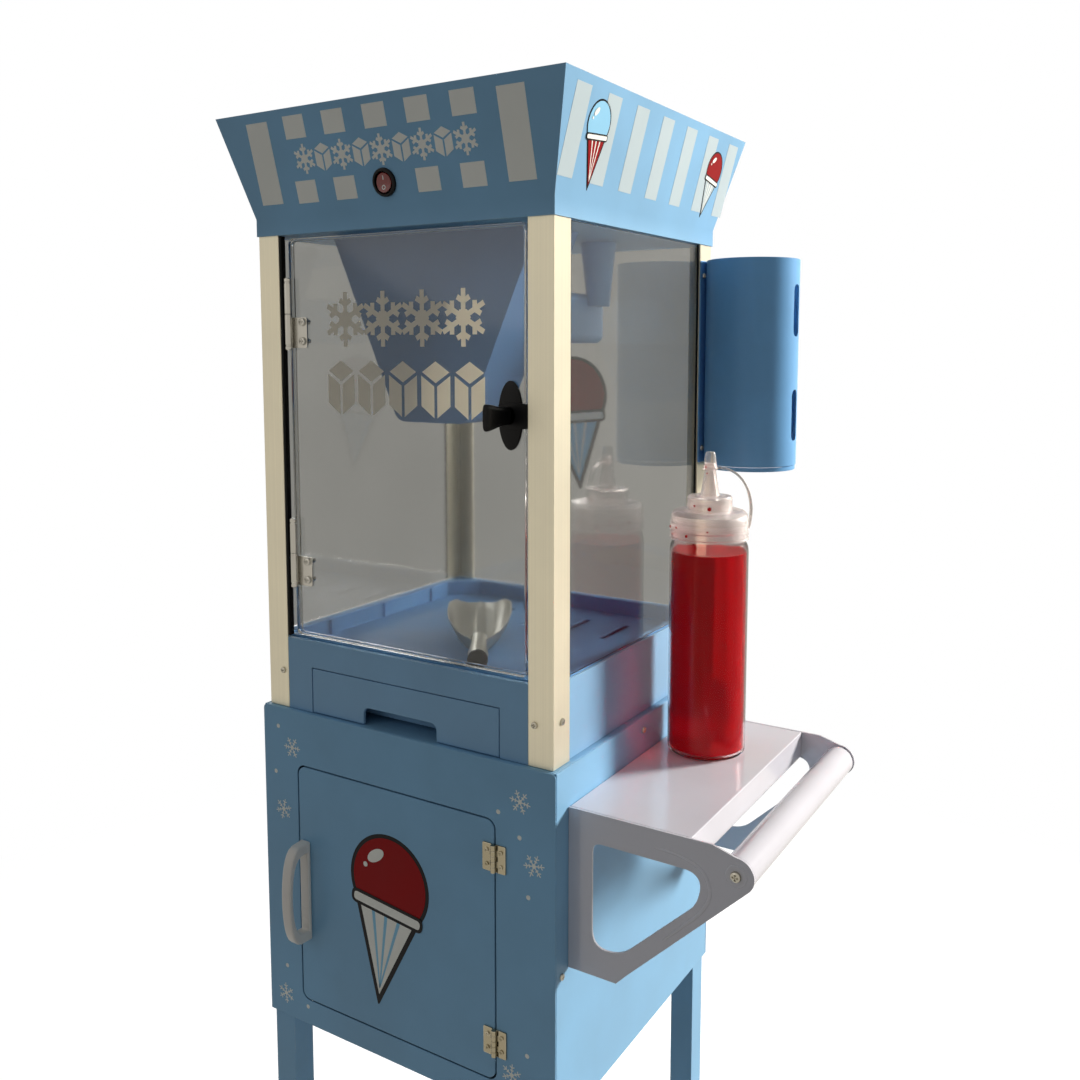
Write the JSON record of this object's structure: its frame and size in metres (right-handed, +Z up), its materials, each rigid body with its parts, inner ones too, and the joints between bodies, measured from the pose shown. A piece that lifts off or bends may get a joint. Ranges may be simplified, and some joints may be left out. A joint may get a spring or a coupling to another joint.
{
  "type": "shaved ice machine",
  "caption": "Shaved ice machine on a cart: a glazed display case with a shaver head under a flared canopy, over a cupboard on legs with wheels, side shelf and push bar.",
  "frame": {"origin": "on the floor, under the middle of the whole machine's footprint box, with its wheels, shelf and push bar counted", "axes": "+Z up; -Y the front, where the display case door and the cupboard door are; +X the side with the shelf, the push bar and the cone tube"},
  "size_m": [0.5264, 0.3734, 1.219],
  "materials": {
    "blue_paint": "smooth satin powder coat, pastel blue, on thin steel sheet",
    "blue_plastic": "moulded mid-blue plastic, soft gloss",
    "blue_tube": "satin blue plastic tube",
    "cream_trim": "satin anodised aluminium, pale champagne, fine lengthwise lines",
    "white_gloss": "high gloss white enamel",
    "white_plastic": "smooth white moulded plastic",
    "clear_door": "clear moulded plastic",
    "clear_pane": "clear acrylic sheet",
    "nickel": "bright nickel-plated steel",
    "steel": "plain machined steel",
    "black_plastic": "black moulded plastic, light texture",
    "red_plastic": "red translucent rocker",
    "scoop_aluminium": "cast aluminium, lightly brushed",
    "wheel_plastic": "hard black moulded plastic",
    "bottle_plastic": "translucent natural polyethylene",
    "syrup_red": "clear deep red liquid, held as a solid"
  },
  "bodies": {
    "frame": {"leg_left_front": "blue_paint", "leg_left_rear": "blue_paint", "leg_right_front": "blue_paint", "leg_right_rear": "blue_paint", "cabinet_front": "blue_paint", "cabinet_left": "blue_paint", "cabinet_right": "blue_paint", "cabinet_back": "blue_paint", "cabinet_deck": "blue_paint", "cabinet_floor": "blue_paint", "base_housing": "blue_paint", "canopy_shell": "blue_paint", "canopy_top": "blue_paint", "ceiling_plate": "blue_paint", "ice_tub": "blue_plastic", "shaver_housing": "blue_plastic", "motor_cover": "blue_plastic", "cone_tube": "blue_tube", "cone_ring": "blue_tube", "post_front_left": "cream_trim", "post_front_right": "cream_trim", "post_rear_left": "cream_trim", "post_rear_right": "cream_trim", "side_shelf": "white_gloss", "shelf_bracket_front": "white_gloss", "shelf_bracket_rear": "white_gloss", "handle_bar": "white_gloss", "ice_hopper": "white_plastic", "pane_left": "clear_pane", "pane_right": "clear_pane", "pane_back": "clear_pane", "cabinet_hinge_upper_frame_leaf": "nickel", "cabinet_hinge_lower_frame_leaf": "nickel", "case_hinge_upper_frame_half": "nickel", "case_hinge_lower_frame_half": "nickel", "axle": "steel", "motor": "steel", "door_catch": "black_plastic", "switch_bezel": "black_plastic", "cord_gland": "black_plastic"},
    "case_door": {"case_door": "clear_door", "case_hinge_upper_door_half": "nickel", "case_hinge_lower_door_half": "nickel", "latch_plate": "black_plastic"},
    "case_latch": {"latch_turn": "black_plastic"},
    "cabinet_door": {"cabinet_door": "blue_paint", "door_pull": "white_plastic", "cabinet_hinge_upper_door_leaf": "nickel", "cabinet_hinge_lower_door_leaf": "nickel"},
    "drip_drawer": {"drip_drawer": "blue_plastic"},
    "ice_lid": {"ice_lid": "blue_plastic"},
    "power_switch": {"switch_rocker": "red_plastic"},
    "cutter": {"cutter_disc": "steel"},
    "front_wheel": {"wheel_front": "wheel_plastic"},
    "rear_wheel": {"wheel_rear": "wheel_plastic"},
    "syrup_bottle": {"bottle": "bottle_plastic", "syrup": "syrup_red", "bottle_cap": "white_plastic", "tip_cap": "white_plastic"},
    "ice_scoop": {"scoop": "scoop_aluminium"}
  },
  "joints": [
    {"name": "case_door_hinge", "type": "hinge", "parent": "frame", "child": "case_door", "pos_m": [-0.17719, -0.15025, 0.9658], "axis": [0, 0, -1], "range_deg": [0, 110]},
    {"name": "case_latch_turn", "type": "hinge", "parent": "case_door", "child": "case_latch", "pos_m": [0.05831, -0.15045, 0.9653], "axis": [0, 1, 0], "range_deg": [0, 90]},
    {"name": "cabinet_door_hinge", "type": "hinge", "parent": "frame", "child": "cabinet_door", "pos_m": [0.04906, -0.16105, 0.5228], "axis": [0, 0, 1], "range_deg": [0, 110]},
    {"name": "drip_drawer_slide", "type": "slide", "parent": "frame", "child": "drip_drawer", "axis": [0, -1, 0], "range_m": [0, 0.18]},
    {"name": "ice_lid_hinge", "type": "hinge", "parent": "frame", "child": "ice_lid", "pos_m": [-0.05319, 0.07055, 1.207], "axis": [-1, 0, 0], "range_deg": [0, 100]},
    {"name": "power_switch_rock", "type": "hinge", "parent": "frame", "child": "power_switch", "pos_m": [-0.05519, -0.16032, 1.1528], "axis": [1, 0, 0], "range_deg": [0, 16]},
    {"name": "cutter_spin", "type": "hinge", "parent": "frame", "child": "cutter", "pos_m": [-0.05319, -0.07195, 1.0468], "axis": [0, 1, 0], "continuous": true},
    {"name": "front_wheel_spin", "type": "hinge", "parent": "frame", "child": "front_wheel", "pos_m": [-0.19819, -0.16845, 0.065], "axis": [0, 1, 0], "continuous": true},
    {"name": "rear_wheel_spin", "type": "hinge", "parent": "frame", "child": "rear_wheel", "pos_m": [-0.19819, 0.16055, 0.065], "axis": [0, 1, 0], "continuous": true},
    {"name": "bottle_lift", "type": "slide", "parent": "frame", "child": "syrup_bottle", "axis": [0, 0, 1], "range_m": [0, 0.15]},
    {"name": "scoop_lift", "type": "slide", "parent": "frame", "child": "ice_scoop", "axis": [0, 0, 1], "range_m": [0, 0.1]}
  ]
}
